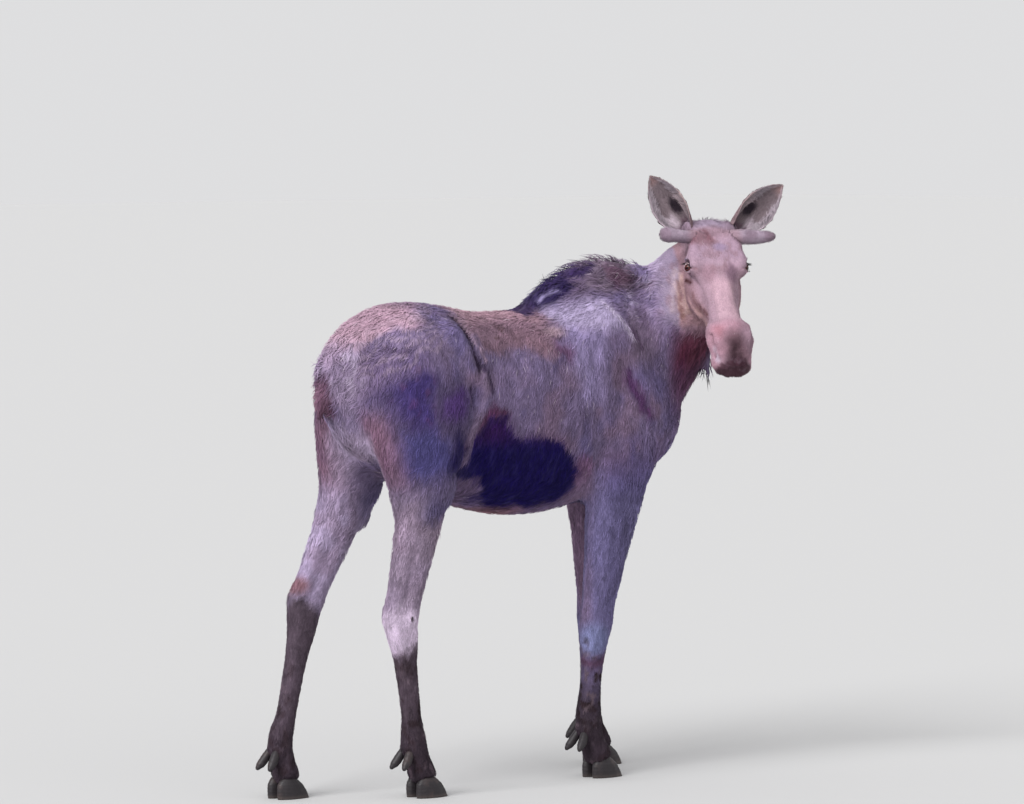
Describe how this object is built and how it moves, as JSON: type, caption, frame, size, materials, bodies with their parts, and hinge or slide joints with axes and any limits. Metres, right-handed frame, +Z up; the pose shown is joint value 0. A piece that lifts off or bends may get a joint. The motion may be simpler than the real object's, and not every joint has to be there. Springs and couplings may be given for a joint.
{
  "type": "moose figure",
  "caption": "Life-size young bull moose with short antlers in velvet, standing still on all four feet with his head turned back over his right side.",
  "frame": {"origin": "on the floor, under the middle of the bounding box", "axes": "+X the way the trunk points, +Y to the animal's left, +Z up"},
  "size_m": [1.8988, 0.7811, 1.9607],
  "materials": {
    "antler_left": "matt velvet",
    "antler_right": "matt velvet",
    "bell": "matt dark hair",
    "dewclaw_front_left_inner": "dull black horn",
    "dewclaw_front_left_outer": "dull black horn",
    "dewclaw_front_right_inner": "dull black horn",
    "dewclaw_front_right_outer": "dull black horn",
    "dewclaw_hind_left_inner": "dull black horn",
    "dewclaw_hind_left_outer": "dull black horn",
    "dewclaw_hind_right_inner": "dull black horn",
    "dewclaw_hind_right_outer": "dull black horn",
    "ear_left": "matt short hair",
    "ear_right": "matt short hair",
    "eye_left": "wet dark brown",
    "eye_right": "wet dark brown",
    "head": "matt short coat, pinkish brown",
    "hoof_front_left_inner": "dull black horn",
    "hoof_front_left_outer": "dull black horn",
    "hoof_front_right_inner": "dull black horn",
    "hoof_front_right_outer": "dull black horn",
    "hoof_hind_left_inner": "dull black horn",
    "hoof_hind_left_outer": "dull black horn",
    "hoof_hind_right_inner": "dull black horn",
    "hoof_hind_right_outer": "dull black horn",
    "leg_front_left": "matt coat, grey above and near black below",
    "leg_front_right": "matt coat, grey above and near black below",
    "leg_hind_left": "matt coat, grey above and near black below",
    "leg_hind_right": "matt coat, grey above and near black below",
    "neck": "matt coat, grey brown",
    "tail": "matt dark hair",
    "trunk": "matt moulting coat, grey brown"
  },
  "bodies": {
    "root": {"antler_left": "antler_left", "antler_right": "antler_right", "bell": "bell", "dewclaw_front_left_inner": "dewclaw_front_left_inner", "dewclaw_front_left_outer": "dewclaw_front_left_outer", "dewclaw_front_right_inner": "dewclaw_front_right_inner", "dewclaw_front_right_outer": "dewclaw_front_right_outer", "dewclaw_hind_left_inner": "dewclaw_hind_left_inner", "dewclaw_hind_left_outer": "dewclaw_hind_left_outer", "dewclaw_hind_right_inner": "dewclaw_hind_right_inner", "dewclaw_hind_right_outer": "dewclaw_hind_right_outer", "ear_left": "ear_left", "ear_right": "ear_right", "eye_left": "eye_left", "eye_right": "eye_right", "head": "head", "hoof_front_left_inner": "hoof_front_left_inner", "hoof_front_left_outer": "hoof_front_left_outer", "hoof_front_right_inner": "hoof_front_right_inner", "hoof_front_right_outer": "hoof_front_right_outer", "hoof_hind_left_inner": "hoof_hind_left_inner", "hoof_hind_left_outer": "hoof_hind_left_outer", "hoof_hind_right_inner": "hoof_hind_right_inner", "hoof_hind_right_outer": "hoof_hind_right_outer", "leg_front_left": "leg_front_left", "leg_front_right": "leg_front_right", "leg_hind_left": "leg_hind_left", "leg_hind_right": "leg_hind_right", "neck": "neck", "tail": "tail", "trunk": "trunk"}
  },
  "joints": []
}
